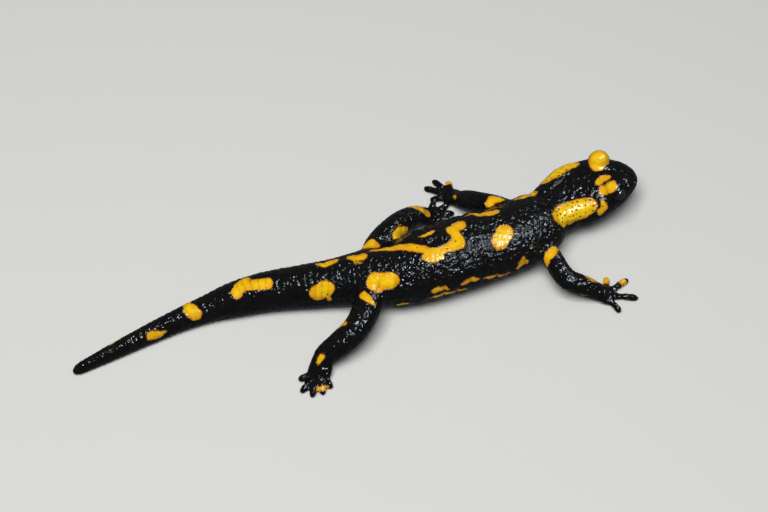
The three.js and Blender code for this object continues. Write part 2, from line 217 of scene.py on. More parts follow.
# Joints are (forward, outward, up, radius) from the spine at the leg's station. Headings of the pad and the
# toes are degrees from forward towards outward. Outward is the left for side 1 and the right for side -1.
LEGS = {
    "right fore": {
        "side": -1, "station": 39, "pad": HAND, "pad_heading": 48, "toe_headings": (-42, 0, 44, 93),
        "joints": [(-2, 4, 9.6, 3.6), (-3.2, 12, 9.2, 3.2), (-4.3, 20.9, 7.5, 3.2), (-0.9, 25.1, 5.3, 3.15),
                   (2, 28.2, 3, 2.7)],
    },
    "left fore": {
        "side": 1, "station": 39, "pad": HAND, "pad_heading": 97, "toe_headings": (62, 91, 115, 144),
        "joints": [(-1.6, 4, 9.6, 3.6), (-2.6, 10.6, 9.2, 3.5), (-5.9, 18, 7.5, 3.4), (-7, 22.2, 5.3, 3.2),
                   (-7.4, 25.4, 3, 2.7)],
    },
    "left hind": {
        "side": 1, "station": 93, "pad": FOOT, "pad_heading": 18, "toe_headings": (-30, -8, 14, 38, 68),
        "joints": [(0.5, 3.5, 9.2, 4.4), (2.8, 10.3, 9.4, 4.3), (8, 17.2, 9, 4.1), (12, 21.9, 6.8, 3.8),
                   (16, 25.4, 4.3, 3.2)],
    },
    "right hind": {
        "side": -1, "station": 93, "pad": FOOT, "pad_heading": 112, "toe_headings": (62, 86, 108, 130, 158),
        "joints": [(0.5, 3.5, 9.2, 4.4), (-1, 10.8, 9.4, 4.3), (-4.8, 18.8, 9, 4.1), (-10.4, 23.2, 6.8, 3.8),
                   (-14.8, 25.8, 4.3, 3.2)],
    },
}


def with_run(line):
    """A line of points and how far along it each of them lies."""
    gaps = np.linalg.norm(np.diff(line, axis=0), axis=1)
    return line, np.concatenate([[0], np.cumsum(gaps)])


def bent_line(points):
    """A centripetal Catmull-Rom line through points, with its run."""
    points = np.array([2 * points[0] - points[1], *points, 2 * points[-1] - points[-2]])
    line = []
    for p0, p1, p2, p3 in zip(points, points[1:], points[2:], points[3:]):
        k0, k1, k2 = (math.sqrt(np.linalg.norm(b - a)) for a, b in ((p0, p1), (p1, p2), (p2, p3)))
        start = ((p1 - p0) / k0 - (p2 - p0) / (k0 + k1) + (p2 - p1) / k1) * k1
        end = ((p2 - p1) / k1 - (p3 - p1) / (k1 + k2) + (p3 - p2) / k2) * k1
        t = np.linspace(0, 1, LINE_SAMPLES, endpoint=False)[:, None]
        blend = p1 * (1 + 2 * t) * (1 - t) ** 2 + p2 * t * t * (3 - 2 * t)
        line.extend(blend + start * t * (1 - t) ** 2 + end * t * t * (t - 1))
    return with_run(np.array([*line, points[-2]]))


def bar_shape(path, half_width, half_height):
    """The shape of a bar along a path. Degrees run from its top over its left side, seen from its root."""
    line, run = path

    def shape(share, degrees):
        at = np.clip(share, 0, 1) * run[-1]
        spots = np.stack([np.interp(at, run, line[:, axis]) for axis in range(3)], axis=-1)
        slope = np.gradient(line, run, axis=0)
        along = np.stack([np.interp(at, run, slope[:, axis]) for axis in range(3)], axis=-1)
        left = np.stack([-along[:, 1], along[:, 0], 0 * at], axis=-1)
        left /= np.linalg.norm(left, axis=1, keepdims=True)
        along /= np.linalg.norm(along, axis=1, keepdims=True)
        up = np.cross(along, left)
        angle = np.radians(degrees)
        out = left * (half_width(share) * np.sin(angle))[:, None]
        spots = spots + out + up * (half_height(share) * np.cos(angle))[:, None]
        spots[:, 2] = np.maximum(spots[:, 2], 0)
        return spots

    return shape


def straight(start, end, samples=60):
    """A straight line of points, with its run."""
    line = start + (end - start) * np.linspace(0, 1, samples)[:, None]
    return line, np.linspace(0, np.linalg.norm(end - start), samples)


def flat_direction(leg, degrees):
    """A level direction, in degrees from the animal's forward towards the leg's outward side."""
    turned = spine(leg["station"])[2] + leg["side"] * math.radians(degrees)
    return np.array([math.cos(turned), math.sin(turned), 0])


toe_thickness = smooth([
    (-TOE_BURIED, 1), (0, 1), (0.35, 0.92), (0.68, 0.96), (0.88, 0.82), (0.97, 0.5), (1, 0.08),
])

for leg in LEGS.values():
    pad = leg["pad"]
    root = place(leg["station"], 0, 0)
    forward, outward = flat_direction(leg, 0), flat_direction(leg, 90)
    stops = [root + forward * j[0] + outward * j[1] + np.array([0, 0, j[2]]) for j in leg["joints"]]
    wrist, wrist_radius = stops[-1], leg["joints"][-1][3]
    pad_direction = flat_direction(leg, leg["pad_heading"])
    knuckles = wrist + pad_direction * pad["length"]
    knuckles[2] = KNUCKLE_HEIGHT * pad["half_height"]

    # The limb, from inside the trunk to the knuckles.
    line, run = bent_line([*stops, knuckles])
    joint_shares = run[::LINE_SAMPLES] / run[-1]
    radii = [*(joint[3] for joint in leg["joints"]), pad["half_height"]]
    radius = smooth(list(zip(joint_shares, radii)))
    wrist_share = joint_shares[-2]
    leg["shape"] = bar_shape((line, run), radius, radius)
    leg["line"], leg["run"], leg["radius"] = line, run, radius
    leg["elbow_share"], leg["wrist_share"] = joint_shares[2], wrist_share
    tube(flesh, *LIMB_MESH, lambda share, degrees: leg["shape"](share * wrist_share, degrees))

    # The pad, which spreads and flattens from the wrist to the knuckles and rounds off between the toes.
    wide, high = pad["half_width"], pad["half_height"]
    root_row, tip_row = (0, wrist_radius), (PAD_REACH, 0.1)
    spread_rows = [(0.35, 0.9 * wide), (0.7, wide), (1, 0.9 * wide), (1.18, 0.5 * wide)]
    flat_rows = [(0.35, 1.4 * high), (0.7, 1.1 * high), (1, 0.95 * high), (1.18, 0.6 * high)]
    spread = smooth([root_row, *spread_rows, tip_row])
    flat = smooth([root_row, *flat_rows, tip_row])
    end = wrist + (knuckles - wrist) * PAD_REACH
    end[2] = PAD_TIP_HEIGHT
    tube(flesh, *PAD_MESH, bar_shape(
        straight(wrist, end), lambda share: spread(share * PAD_REACH), lambda share: flat(share * PAD_REACH),
    ))

    # The toes, arched over their middle joint, with round tips on the floor.
    leg["toes"] = []
    for degrees, length in zip(leg["toe_headings"], pad["toes"]):
        direction = flat_direction(leg, degrees)
        aside = direction * pad["half_width"] * TOE_ROOT_ASIDE
        toe_root = wrist + pad_direction * pad["length"] * TOE_ROOT_ALONG + aside
        shares = np.linspace(-TOE_BURIED, 1, 60)
        toe = toe_root + direction * (shares * length)[:, None]
        middle = pad["toe_radius"] * toe_thickness(shares) * TOE_HEIGHT
        toe[:, 2] = middle + TOE_ARCH * np.sin(np.pi * np.clip(shares, 0, 1))
        toe_root[2] = pad["toe_radius"]
        leg["toes"].append((toe_root, toe_root + direction * length))

        def toe_size(share):
            return pad["toe_radius"] * toe_thickness((1 + TOE_BURIED) * share - TOE_BURIED)

        tube(flesh, *TOE_MESH, bar_shape(with_run(toe), toe_size, toe_size))

# ---- Eyelids ---------------------------------------------------------------------------------------------
# Two domes of soft skin stand over the eyes, higher than the crown between them. They join the flesh here,
# and the skin's section opens them over the eyeballs.

EYELID = {"at": 10.3, "out": 6.1, "up": 14.9, "long": 3.45, "wide": 3.25, "high": 3.25}
SIDES = {"left": 1, "right": -1}

for side in SIDES.values():
    dome = bmesh.ops.create_uvsphere(flesh, u_segments=40, v_segments=24, radius=1)["verts"]
    bmesh.ops.scale(flesh, verts=dome, vec=Vector((EYELID["long"], EYELID["wide"], EYELID["high"])) * MM)
    turn = Matrix.Rotation(float(spine(EYELID["at"])[2]), 3, "Z")
    bmesh.ops.rotate(flesh, verts=dome, cent=(0, 0, 0), matrix=turn)
    centre = place(EYELID["at"], side * EYELID["out"], EYELID["up"]) * MM
    bmesh.ops.translate(flesh, verts=dome, vec=Vector(centre))

# ---- Skin ------------------------------------------------------------------------------------------------
# The skin is one wet, elastic sheet over all the flesh, with no seam. The tubes, pads, toes and lids are
# fused, rounded off where the limbs join, and then folded: costal grooves on the flanks, rings on the tail,
# folds at the throat, the lips, the nostrils and the openings of the lids.

GRAIN = 0.48  # size of the skin's faces in millimetres, halved on the head
FINE_TO, FINE_HALF_WIDTH = 35.0, 13.0  # the head, by distance from the snout and out to the sides


def make_piece(name, shape):
    """Puts a finished shape into the scene as an object at the origin."""
    mesh = bpy.data.meshes.new(name)
    shape.to_mesh(mesh)
    shape.free()
    piece = bpy.data.objects.new(name, mesh)
    bpy.context.scene.collection.objects.link(piece)
    return piece


bmesh.ops.recalc_face_normals(flesh, faces=flesh.faces)
flesh_object = make_piece("flesh", flesh)
flesh_mesh = flesh_object.data
fuse = flesh_object.modifiers.new("fuse", "REMESH")
fuse.mode = "VOXEL"
fuse.voxel_size = GRAIN * MM
fused = flesh_object.evaluated_get(bpy.context.evaluated_depsgraph_get())
fused_mesh = bpy.data.meshes.new_from_object(fused)
bpy.data.objects.remove(flesh_object)
bpy.data.meshes.remove(flesh_mesh)

SEARCH_ROUNDS, SEARCH_STRIDE = 25, 0.6  # towards the spine's point that lies level with a point


def body_coordinates(spots):
    """Distance from the snout, out to the left and up, of points in millimetres."""
    distance = np.interp(-spots[:, 0], -spine_x, spine_distance)
    for _ in range(SEARCH_ROUNDS):
        x, y, heading = spine(distance)
        ahead = (spots[:, 0] - x) * np.cos(heading) + (spots[:, 1] - y) * np.sin(heading)
        distance = np.clip(distance - SEARCH_STRIDE * ahead, -4, LENGTH + 4)
    left = (spots[:, 1] - y) * np.cos(heading) - (spots[:, 0] - x) * np.sin(heading)
    return distance, left, spots[:, 2]


def round_coordinates(distance, left, up):
    """Degrees from the middle of the back, and how far out a point lies, where the body's surface is 1."""
    degrees = np.where(up > 10, 45.0, 120.0) * np.sign(left)  # a first guess, above or below the middle
    inner = np.clip(distance, 0.4, LENGTH - 0.4)
    for _ in range(4):
        sideways, upright, middle, squareness = section_sizes(inner, degrees)
        sine = (np.abs(left) / sideways) ** (squareness / 2) * np.sign(left)
        cosine = (np.abs(up - middle) / upright) ** (squareness / 2) * np.sign(up - middle)
        degrees = np.degrees(np.arctan2(sine, cosine))
    return degrees, (sine**2 + cosine**2) ** (1 / squareness)


def leg_coordinates(leg, spots):
    """Millimetres along a leg and how far off its surface points lie, worked out for 2000 at a time."""
    line, run = leg["line"], leg["run"]
    nearest = np.concatenate([
        np.linalg.norm(part[:, None] - line[None], axis=2).argmin(axis=1)
        for part in np.array_split(spots, max(len(spots) // 2000, 1))
    ])
    along = run[nearest]
    return along, np.linalg.norm(spots - line[nearest], axis=1) - leg["radius"](along / run[-1])


LEG_REACH = 34.0  # from the middle of a leg to its farthest skin


def near_leg(leg, spots):
    """Whether points are near enough to a leg to be searched for its skin."""
    return np.linalg.norm(spots - leg["line"].mean(axis=0), axis=1) < LEG_REACH


def lid_outness(distance, left, up):
    """How far out from the middle of a lid points lie, where the lid's own surface is 1."""
    return np.sqrt(
        ((distance - EYELID["at"]) / EYELID["long"]) ** 2
        + ((left - EYELID["out"]) / EYELID["wide"]) ** 2
        + ((up - EYELID["up"]) / EYELID["high"]) ** 2
    )


def chosen(which):
    """The skin's points for which an array of answers says yes."""
    return [skin.verts[i] for i in np.flatnonzero(which)]


def even_out(rounds, verts=None):
    """Relaxes all the skin's points, or some of them, towards their neighbours."""
    for _ in range(rounds):
        bmesh.ops.smooth_vert(
            skin, verts=verts or skin.verts, factor=0.5, use_axis_x=True, use_axis_y=True, use_axis_z=True,
        )


skin = bmesh.new()
skin.from_mesh(fused_mesh)
even_out(2)

# The hollows where limbs leave the trunk and where toes leave their pads are rounded off by more rounds.
FAR = 99.0  # more than any distance that counts
ARMPIT_REACH, ARMPIT_ROUNDS = 2.2, 14
WEB_REACH, WEB_ROUNDS = 4.2, 2
spots = np.array([vert.co for vert in skin.verts]) / MM
distance, left, up = body_coordinates(spots)
degrees, outness = round_coordinates(distance, left, up)
off_body = (outness - 1) * full_width(distance) / 2
limb_gap = np.full(len(spots), FAR)
knuckle_gap = np.full(len(spots), FAR)
for leg in LEGS.values():
    near = np.flatnonzero(near_leg(leg, spots))
    _, gap = leg_coordinates(leg, spots[near])
    limb_gap[near] = np.minimum(limb_gap[near], gap)
    knuckle_gap = np.minimum(knuckle_gap, np.linalg.norm(spots - leg["line"][-1], axis=1))
skin.verts.ensure_lookup_table()
even_out(ARMPIT_ROUNDS, chosen((np.abs(off_body) < ARMPIT_REACH) & (np.abs(limb_gap) < ARMPIT_REACH)))
even_out(WEB_ROUNDS, chosen(knuckle_gap < WEB_REACH))

# The lids' feet run softly into the crown and the cheeks.
LID_FOOT_ROUNDS = 8
CROWN_ABOVE = 9.0  # height over the floor above which the head's skin is crown or lid
for side in SIDES.values():
    at_foot = (lid_outness(distance, left * side, up) < 1.3) & (off_body < 0.9)
    even_out(LID_FOOT_ROUNDS, chosen(at_foot & (up > CROWN_ABOVE)))

# The head gets finer faces, because its lids, lips and glands have smaller forms.
head_edges = [
    edge for edge in skin.edges
    if all(distance[vert.index] < FINE_TO and abs(left[vert.index]) < FINE_HALF_WIDTH for vert in edge.verts)
]
bmesh.ops.subdivide_edges(skin, edges=head_edges, cuts=1, use_grid_fill=True)
skin.verts.ensure_lookup_table()
bmesh.ops.triangulate(skin, faces=[face for face in skin.faces if len(face.verts) > 4])
spots = np.array([vert.co for vert in skin.verts]) / MM
distance, left, up = body_coordinates(spots)
even_out(2, chosen((distance < FINE_TO + 1) & (np.abs(left) < FINE_HALF_WIDTH + 1)))
skin_piece = make_piece("skin", skin)
skin_mesh = skin_piece.data
bpy.data.meshes.remove(fused_mesh)


def fade(value, start, end):
    """0 before start, 1 past end and smooth between. Where end is below start it runs the other way."""
    t = np.clip((value - start) / (end - start), 0, 1)
    return t * t * (3 - 2 * t)


def band(value, low, high, soft):
    """1 between low and high, fading to 0 over a soft length outside them."""
    return fade(value, low - soft, low) * fade(value, high + soft, high)


def crease(value, half_width):
    """A rounded furrow where value is 0, 1 deep at its bottom."""
    return np.exp(-((value / half_width) ** 2))


def furrows(run, spacing, openness):
    """Evenly spaced furrows across a run: 1 at the bottom of each and 0 midway between two."""
    return 1 - np.abs(np.sin(np.pi * run / spacing)) ** openness


def unevenness(spots, size, seed):
    """Soft noise between about -1 and 1, with lumps of the given size in millimetres."""
    shift = Vector((7.3, 3.1, 5.9)) * seed
    return np.array([noise.noise(Vector(spot) / size + shift) for spot in spots])


def read(name):
    """The places or the normals of the skin's points."""
    values = np.empty(3 * len(skin_mesh.vertices))
    skin_mesh.vertices.foreach_get(name, values)
    return values.reshape(-1, 3)


BROAD_LUMPS, SMALL_LUMPS = 5.0, 1.5  # their sizes
spots = read("co") / MM
normals = read("normal")
distance, left, up = body_coordinates(spots)
degrees, outness = round_coordinates(distance, left, up)
on_trunk = fade(outness, 1.3, 1.08)  # 1 on the body and 0 on the limbs
broad = unevenness(spots, BROAD_LUMPS, 1)
small = unevenness(spots, SMALL_LUMPS, 2)
lift = np.zeros(len(spots))  # how far out the skin is pushed, in millimetres

# Eleven costal grooves part the flanks between fore and hind legs into soft ribs.
GROOVES_FROM, GROOVES_TO, GROOVE_SPACING, GROOVE_DEPTH = 43.0, 92.0, 4.4, 0.5
slant = distance - 0.02 * (np.abs(degrees) - 90) + 0.35 * broad
flank = band(np.abs(degrees), 48, 118, 26) * band(distance, GROOVES_FROM, GROOVES_TO, 2)
fold = on_trunk * flank * furrows(slant - GROOVES_FROM, GROOVE_SPACING, 0.55)
lift -= GROOVE_DEPTH * fold

# Narrower rings go round the tail, and grow shallower towards its tip.
RINGS_FROM, RING_SPACING, RING_DEPTH = 104.0, 2.1, 0.17
ring = on_trunk * fade(distance, RINGS_FROM - 4, RINGS_FROM + 4) * fade(distance, 184, 150)
ring *= furrows(distance + 0.5 * broad - RINGS_FROM, RING_SPACING, 0.6)
lift -= RING_DEPTH * ring
fold = np.maximum(fold, ring)

# A shallow furrow runs down the middle of the back.
FURROW_DEPTH, FURROW_HALF_WIDTH = 0.16, 1.1
BACK_ABOVE = 8.0  # height over the floor
furrow = band(distance, 34, 100, 8) * FURROW_DEPTH * crease(left, FURROW_HALF_WIDTH)
lift -= on_trunk * furrow * (up > BACK_ABOVE)

# Fine folds run across the back and the flanks.
FOLD_SPACING, FOLD_HEIGHT = 1.55, 0.055
fine_folds = np.sin(2 * np.pi * (distance + 0.5 * small + 0.8 * broad) / FOLD_SPACING)
lift += on_trunk * fade(distance, 32, 38) * FOLD_HEIGHT * fine_folds * (0.6 + 0.8 * small)

# Two folds cross the throat under the neck, and the first rises behind the glands. Each has its distance
# from the snout, depth, half width, and the degrees from the back between which it deepens.
THROAT_FOLDS = [(30.5, 0.55, 0.7, 60, 110), (34.5, 0.3, 0.6, 80, 125)]
for at, deep, half_width, start, end in THROAT_FOLDS:
    across = fade(np.abs(degrees), start, end) * on_trunk
    lift -= across * deep * crease(distance + 0.3 * broad - at, half_width)

# A parotoid gland has a shallow rim round it and is a little lumpy.
GLAND_RIM_DEPTH, GLAND_LUMPS = 0.14, 0.1
gland = gland_inside(distance, degrees)
lift -= on_trunk * GLAND_RIM_DEPTH * crease(gland + 0.04, 0.13)
lift += on_trunk * GLAND_LUMPS * small * fade(gland, 0, 0.3)

# The lips part along a line from under the snout to the corner of the mouth.
MOUTH_CORNER = 16.0
LIP_GAP, UPPER_LIP, LOWER_LIP = 0.5, 0.12, 0.18  # depth of the gap, swell of one lip, sink of the other
lip_height = smooth([(-3, 10.1), (3, 9.5), (8, 8.8), (12, 7.7), (MOUTH_CORNER + 1, 5.9)])
above_lip = up - lip_height(distance)
mouth = on_trunk * fade(distance, MOUTH_CORNER + 1, MOUTH_CORNER - 1)
lift -= mouth * LIP_GAP * crease(above_lip, 0.3)
lift += mouth * UPPER_LIP * crease(above_lip - 0.75, 0.45)
lift -= mouth * LOWER_LIP * fade(above_lip, -0.2, -0.6) * fade(above_lip, -2.2, -1)

# The nostrils open near the corners of the snout.
NOSTRIL_AT, NOSTRIL_DEGREES, NOSTRIL_RADIUS = 2.2, 58.0, 0.42
NOSTRIL_DEPTH, NOSTRIL_RIM = 0.5, 0.07
for side in SIDES.values():
    nostril = on_body(np.array([NOSTRIL_AT]), np.array([side * NOSTRIL_DEGREES]))
    off_nostril = np.linalg.norm(spots - nostril, axis=1)
    lift -= NOSTRIL_DEPTH * crease(off_nostril, NOSTRIL_RADIUS)
    lift += NOSTRIL_RIM * crease(off_nostril - 0.8, 0.3)

# The crown dips a little between the lids, and a soft ridge runs from each lid to its nostril.
CROWN_DIP, LID_RIDGE = 0.3, 0.12
lift -= on_trunk * CROWN_DIP * crease(left, 2.0) * band(distance, 8, 14, 4) * (up > CROWN_ABOVE)
lift += on_trunk * LID_RIDGE * crease(np.abs(degrees) - 50, 9) * band(distance, 4, 8, 2)

# The vent is a lengthwise slit under the root of the tail.
VENT_DEPTH, VENT_HALF_WIDTH = 0.35, 0.4
vent = VENT_DEPTH * crease(left, VENT_HALF_WIDTH) * band(distance, 103.5, 108.5, 1)
lift -= on_trunk * vent * (np.abs(degrees) > 150)

# Skin on the limbs wrinkles across elbows, knees and wrists, and each toe has a crease at its joints.
WRINKLE_SPACING, WRINKLE_DEPTH = 1.7, 0.11
LIMB_SKIN = 1.5  # skin no farther than this off a limb's own surface wrinkles with it
TOE_JOINTS, TOE_CREASE_DEPTH = (0.35, 0.66), 0.13  # the joints are shares of a toe's length
for leg in LEGS.values():
    near = np.flatnonzero((outness > 1.02) & near_leg(leg, spots))
    along, gap = leg_coordinates(leg, spots[near])
    held, along = near[gap < LIMB_SKIN], along[gap < LIMB_SKIN]
    bend = leg["elbow_share"] * leg["run"][-1]
    wrist_at = leg["wrist_share"] * leg["run"][-1]
    wrinkles = furrows(along + 0.4 * broad[held], WRINKLE_SPACING, 0.6)
    wrinkled = 0.35 + crease(along - bend, 3) + crease(along - wrist_at, 2)
    lift[held] -= (1 - on_trunk[held]) * WRINKLE_DEPTH * wrinkles * wrinkled
    for start, end in leg["toes"]:
        length = np.linalg.norm(end - start)
        pointing = (end - start) / length
        offset = spots - start
        run_out = offset @ pointing
        off_toe = np.linalg.norm(offset - run_out[:, None] * pointing, axis=1)
        on_toe = fade(off_toe, 1.7, 1.3) * band(run_out, 0.5, length, 0.5)
        for joint in TOE_JOINTS:
            lift -= on_toe * TOE_CREASE_DEPTH * crease(run_out - joint * length, 0.3)

# The whole skin is slightly lumpy.
BROAD_LIFT, SMALL_LIFT, MOST_LIFT = 0.1, 0.05, 0.25
lift += BROAD_LIFT * broad + SMALL_LIFT * small
spots += normals * np.minimum(lift, MOST_LIFT)[:, None]

# The lids open over the eyeballs in a slit between an upper and a lower rim. Inside the slit the skin sinks
# into the eyeball, and outside it the lids lie over it.
EYE = {"at": 9.9, "out": 7.3, "up": 14.0, "radius": 2.35}
LID_THICKNESS, LID_RIM_SWELL = 0.36, 0.12
EYE_DEPTH = 0.45  # how deep inside the eyeball the skin of the open slit lies
SLIT_UPPER, SLIT_LOWER = 47.0, -54.0  # degrees above and below the gaze at which the rims stand
SLIT_CORNER = 0.3  # how far out from the eyeball's middle the corners of the slit lie
GAZE_FORWARD, GAZE_UP = 32.0, 24.0  # the eyes look out to the sides, a little ahead and up


def eye_frame(side):
    """Middle of an eyeball, its gaze, and the direction that stands up from the gaze."""
    centre = place(EYE["at"], side * EYE["out"], EYE["up"])
    heading = float(spine(EYE["at"])[2]) + side * math.radians(90 - GAZE_FORWARD)
    rise = math.radians(GAZE_UP)
    level = np.array([math.cos(heading), math.sin(heading), 0])
    gaze = level * math.cos(rise) + np.array([0, 0, math.sin(rise)])
    return centre, gaze, np.array([0, 0, math.cos(rise)]) - level * math.sin(rise)


for side in SIDES.values():
    centre, gaze, upright = eye_frame(side)
    near = np.flatnonzero(np.linalg.norm(spots - centre, axis=1) < 5.2)  # past both fades below
    offset = spots[near] - centre
    reach = np.linalg.norm(offset, axis=1)
    ray = offset / reach[:, None]
    out_there = ray @ gaze * EYE["radius"] - SLIT_CORNER
    up_there = ray @ upright * EYE["radius"]
    angle = np.degrees(np.arctan2(up_there, out_there))
    from_corner = np.hypot(up_there, out_there)
    inside = np.radians(np.minimum(SLIT_UPPER - angle, angle - SLIT_LOWER)) * from_corner
    closed = EYE["radius"] + LID_THICKNESS + LID_RIM_SWELL * crease(inside + 0.3, 0.25)
    lid = np.maximum(reach, closed * fade(reach, 4.6, 3.4))
    open_share = fade(inside, -0.16, 0.16) * fade(reach, 4.8, 3.8)
    reach_now = lid + (EYE["radius"] - EYE_DEPTH - lid) * open_share
    spots[near] = centre + ray * reach_now[:, None]

spots[:, 2] = np.maximum(spots[:, 2], 0)

# The markings: chrome-yellow patches along both sides of the back, over the glands and lids, on the flanks,
# limbs and tail. Each is a chain of round spots: (distance from the snout, degrees from the middle of the
# back over the left side, radius in millimetres).
BODY_PATCHES = [
    # Right side of the back.
    [(53.5, -27, 2.9), (51, -16, 2.9)],
    [(91.5, -41, 3), (87.5, -40, 2.8)],
    [(87.5, -40, 1.4), (91, -58, 1.4)],
    [(109.5, -58, 2.7), (107, -48, 2.8)],
    [(107, -48, 1.2), (106.3, -78, 0.9)],
    # Left side of the back, with the long hooked patch over the middle of the trunk.
    [(39.8, 46, 0.6), (37, 40, 1.4), (34.6, 41, 1.9), (32.8, 43, 1.5)],
    [(60, 41, 0.5), (57.5, 40, 0.8), (55.5, 29, 1.2), (53, 28, 1.7), (50.5, 28, 1.6)],
    [(63, 16, 2.1), (66, 12, 1.8), (65.5, 0, 1.8), (66, -11, 2.4), (69, -14, 1.8), (72, -14, 1.4),
     (75, -10, 1.4), (77.5, 0, 1.5), (80, 10, 1.6), (82.5, 20, 1.5), (86, 26, 1.3), (89, 29, 1),
     (92.5, 33, 0.8)],
    [(76, -13, 1.2), (76.8, -16, 1.6), (75, -21, 1.9), (72.5, -23, 1.3)],
    [(76, 22, 0.5), (74.5, 20, 0.8), (72.5, 21, 1), (71, 23, 0.5)],
    [(99, 23, 1.1), (97, 16, 1.7), (95, 16, 1.6)],
    [(97.5, 3, 0.6), (95.5, 1, 0.5)],
    [(108.5, 26, 1), (106.5, 17, 1.3), (104.5, 24, 1.4), (103, 25, 1.1)],
    [(118, 38, 0.3), (116.5, 38, 0.5)],
    # Small spots low on the right flank.
    [(48, -71, 0.8), (48.4, -80, 1.4), (47.6, -85, 1.3)],
    [(48.4, -80, 1.2), (49.3, -89, 1)],
    [(60.5, -88, 0.7), (58.2, -89, 1), (56, -93, 0.8), (54, -96, 0.7), (52, -98, 0.6)],
    [(68.2, -84, 0.7), (66.5, -81, 1.2), (64.6, -81, 1.3), (63, -84, 0.8)],
    [(77.5, -82, 0.9), (76, -79, 1.3), (74, -80, 1.1), (73, -86, 0.7)],
    [(77, -95, 0.9), (74.7, -95, 1.1), (72, -96, 0.8), (69.5, -98, 0.8), (67, -99, 0.6)],
    [(79.5, -100, 0.4), (78.3, -98, 0.5)],
    [(86, -101, 0.7), (85, -98, 0.9), (84, -100, 0.7)],
    # The left flank is marked like the right one, with its own spots.
    [(35, 62, 1.6), (37, 72, 1.2), (36, 84, 0.8)],
    [(50, 84, 0.8), (52, 88, 0.6), (53, 96, 0.7)],
    [(61, 78, 1.1), (63.5, 82, 0.7), (66, 80, 0.4)],
    [(72, 95, 0.5), (74, 92, 0.7), (77, 97, 0.3)],
    [(79, 84, 1.1), (81, 90, 0.9), (81.5, 100, 0.6)],
    [(98, 64, 1.8), (101, 58, 1.5), (102, 76, 0.8)],
    # Tail.
    [(134, -18, 2), (132.6, 0, 2.3), (130.8, 16, 2.1)],
    [(132.6, 0, 2), (128.5, -6, 2), (124.5, -13, 2.1)],
    [(149, 40, 1.4), (149, -6, 2.1), (148, -40, 2.2)],
    [(162.5, -54, 1.8), (160.5, -66, 1.5), (158.5, -64, 0.8)],
    [(174.5, 40, 0.8), (171.5, 44, 0.9)],
    [(118, 78, 1.3), (121, 70, 1), (123, 84, 0.7)],
    [(139, 84, 0.9), (141, 78, 0.8)],
    # Head.
    [(14.3, -8, 1.3), (12.4, -4, 1.5), (10.6, -4, 1.1)],
    [(16, -52, 1.1), (15.7, -66, 1.4), (17.6, -74, 1.4), (18.6, -64, 0.9)],
    [(31.3, -37, 3.3), (27.2, -44, 3.8), (22, -43, 3)],
    [(26, -60, 2.5), (30, -58, 2.4)],
    [(33.5, -35, 2.4), (32.2, -50, 2.4)],
    [(26.6, 50, 2.2), (23.5, 46, 3), (20, 45, 2.7), (17, 46, 1.8)],
    [(26.5, 62, 2), (23.5, 66, 1.6)],
    [(14.5, 66, 1), (17, 72, 1.2)],
    # The throat and the belly are black with a few pale spots.
    [(22, 162, 0.9), (24, 170, 0.6)],
    [(27, -150, 0.8), (25.5, -144, 0.5)],
    [(46, 172, 0.7), (47.5, 160, 0.5)],
    [(70, -150, 0.6), (72, -156, 0.5)],
    [(95, 158, 0.7), (96.5, 150, 0.4)],
]

# The patches over the lids: (side, distance from the snout, out, up, radius).
LID_PATCHES = [
    (-1, 12.4, 5.8, 17.6, 2.6), (-1, 13.9, 5.6, 16, 2.1),
    (1, 11.8, 4.2, 16.4, 2.8), (1, 11.4, 5.6, 16.6, 3), (1, 10, 5.6, 16.8, 3.2), (1, 8.8, 6, 16.6, 2.3),
]

# On the limbs: (share of the way from the shoulder or hip to the knuckles, degrees from the limb's top over
# its left side, radius in millimetres).
LIMB_PATCHES = {
    "right fore": [
        [(0.25, 32, 1.3), (0.265, 0, 1.7), (0.28, -30, 1.8), (0.3, -55, 1.4), (0.335, -76, 0.9)],
        [(0.655, 48, 0.6), (0.69, 36, 1.2), (0.735, 32, 1.6), (0.785, 36, 1.2), (0.83, 42, 0.6)],
        [(0.71, -115, 0.4), (0.75, -95, 0.5)],
    ],
    "left fore": [
        [(0.36, 34, 1.4), (0.34, 4, 1.9), (0.29, -5, 1.5), (0.24, -15, 0.8)],
        [(0.78, 40, 0.8), (0.84, 30, 0.6)],
    ],
    "left hind": [
        [(0.74, 30, 1), (0.78, 14, 1.9), (0.84, 2, 2.2), (0.89, -14, 1.9)],
        [(0.36, -48, 1.4), (0.43, -56, 2.1), (0.49, -72, 1.5)],
        [(0.12, 52, 1.5), (0.15, 20, 2), (0.14, -10, 1.1)],
        [(0.6, 60, 1.1), (0.66, 72, 0.8)],
    ],
    "right hind": [
        [(0.2, -20, 1.6), (0.24, 12, 1.3), (0.26, 36, 0.7)],
        [(0.52, -40, 1.2), (0.58, -55, 0.9)],
        [(0.84, 10, 1.1), (0.9, -12, 1)],
    ],
}
# Yellow on toes: leg, number of the toe, and from which to which share of its length it is yellow.
YELLOW_TOES = [
    ("right fore", 0, 0.3, 1.2), ("right fore", 1, 0.5, 0.9),
    ("left fore", 0, 0.6, 1.2), ("right hind", 1, 0.6, 0.95),
]
TOE_MARK_RADIUS = 2.1  # enough to take in the whole toe and not its neighbours


def inside_chain(spots, centres, radii):
    """How deep in millimetres points lie inside a chain of balls with straight flanks, below 0 outside."""
    depth = np.full(len(spots), -FAR)
    for start, end, first, last in zip(centres, centres[1:], radii, radii[1:]):
        span = end - start
        share = np.clip((spots - start) @ span / (span @ span), 0, 1)
        off = np.linalg.norm(spots - start - share[:, None] * span, axis=1)
        depth = np.maximum(depth, first + (last - first) * share - off)
    return depth


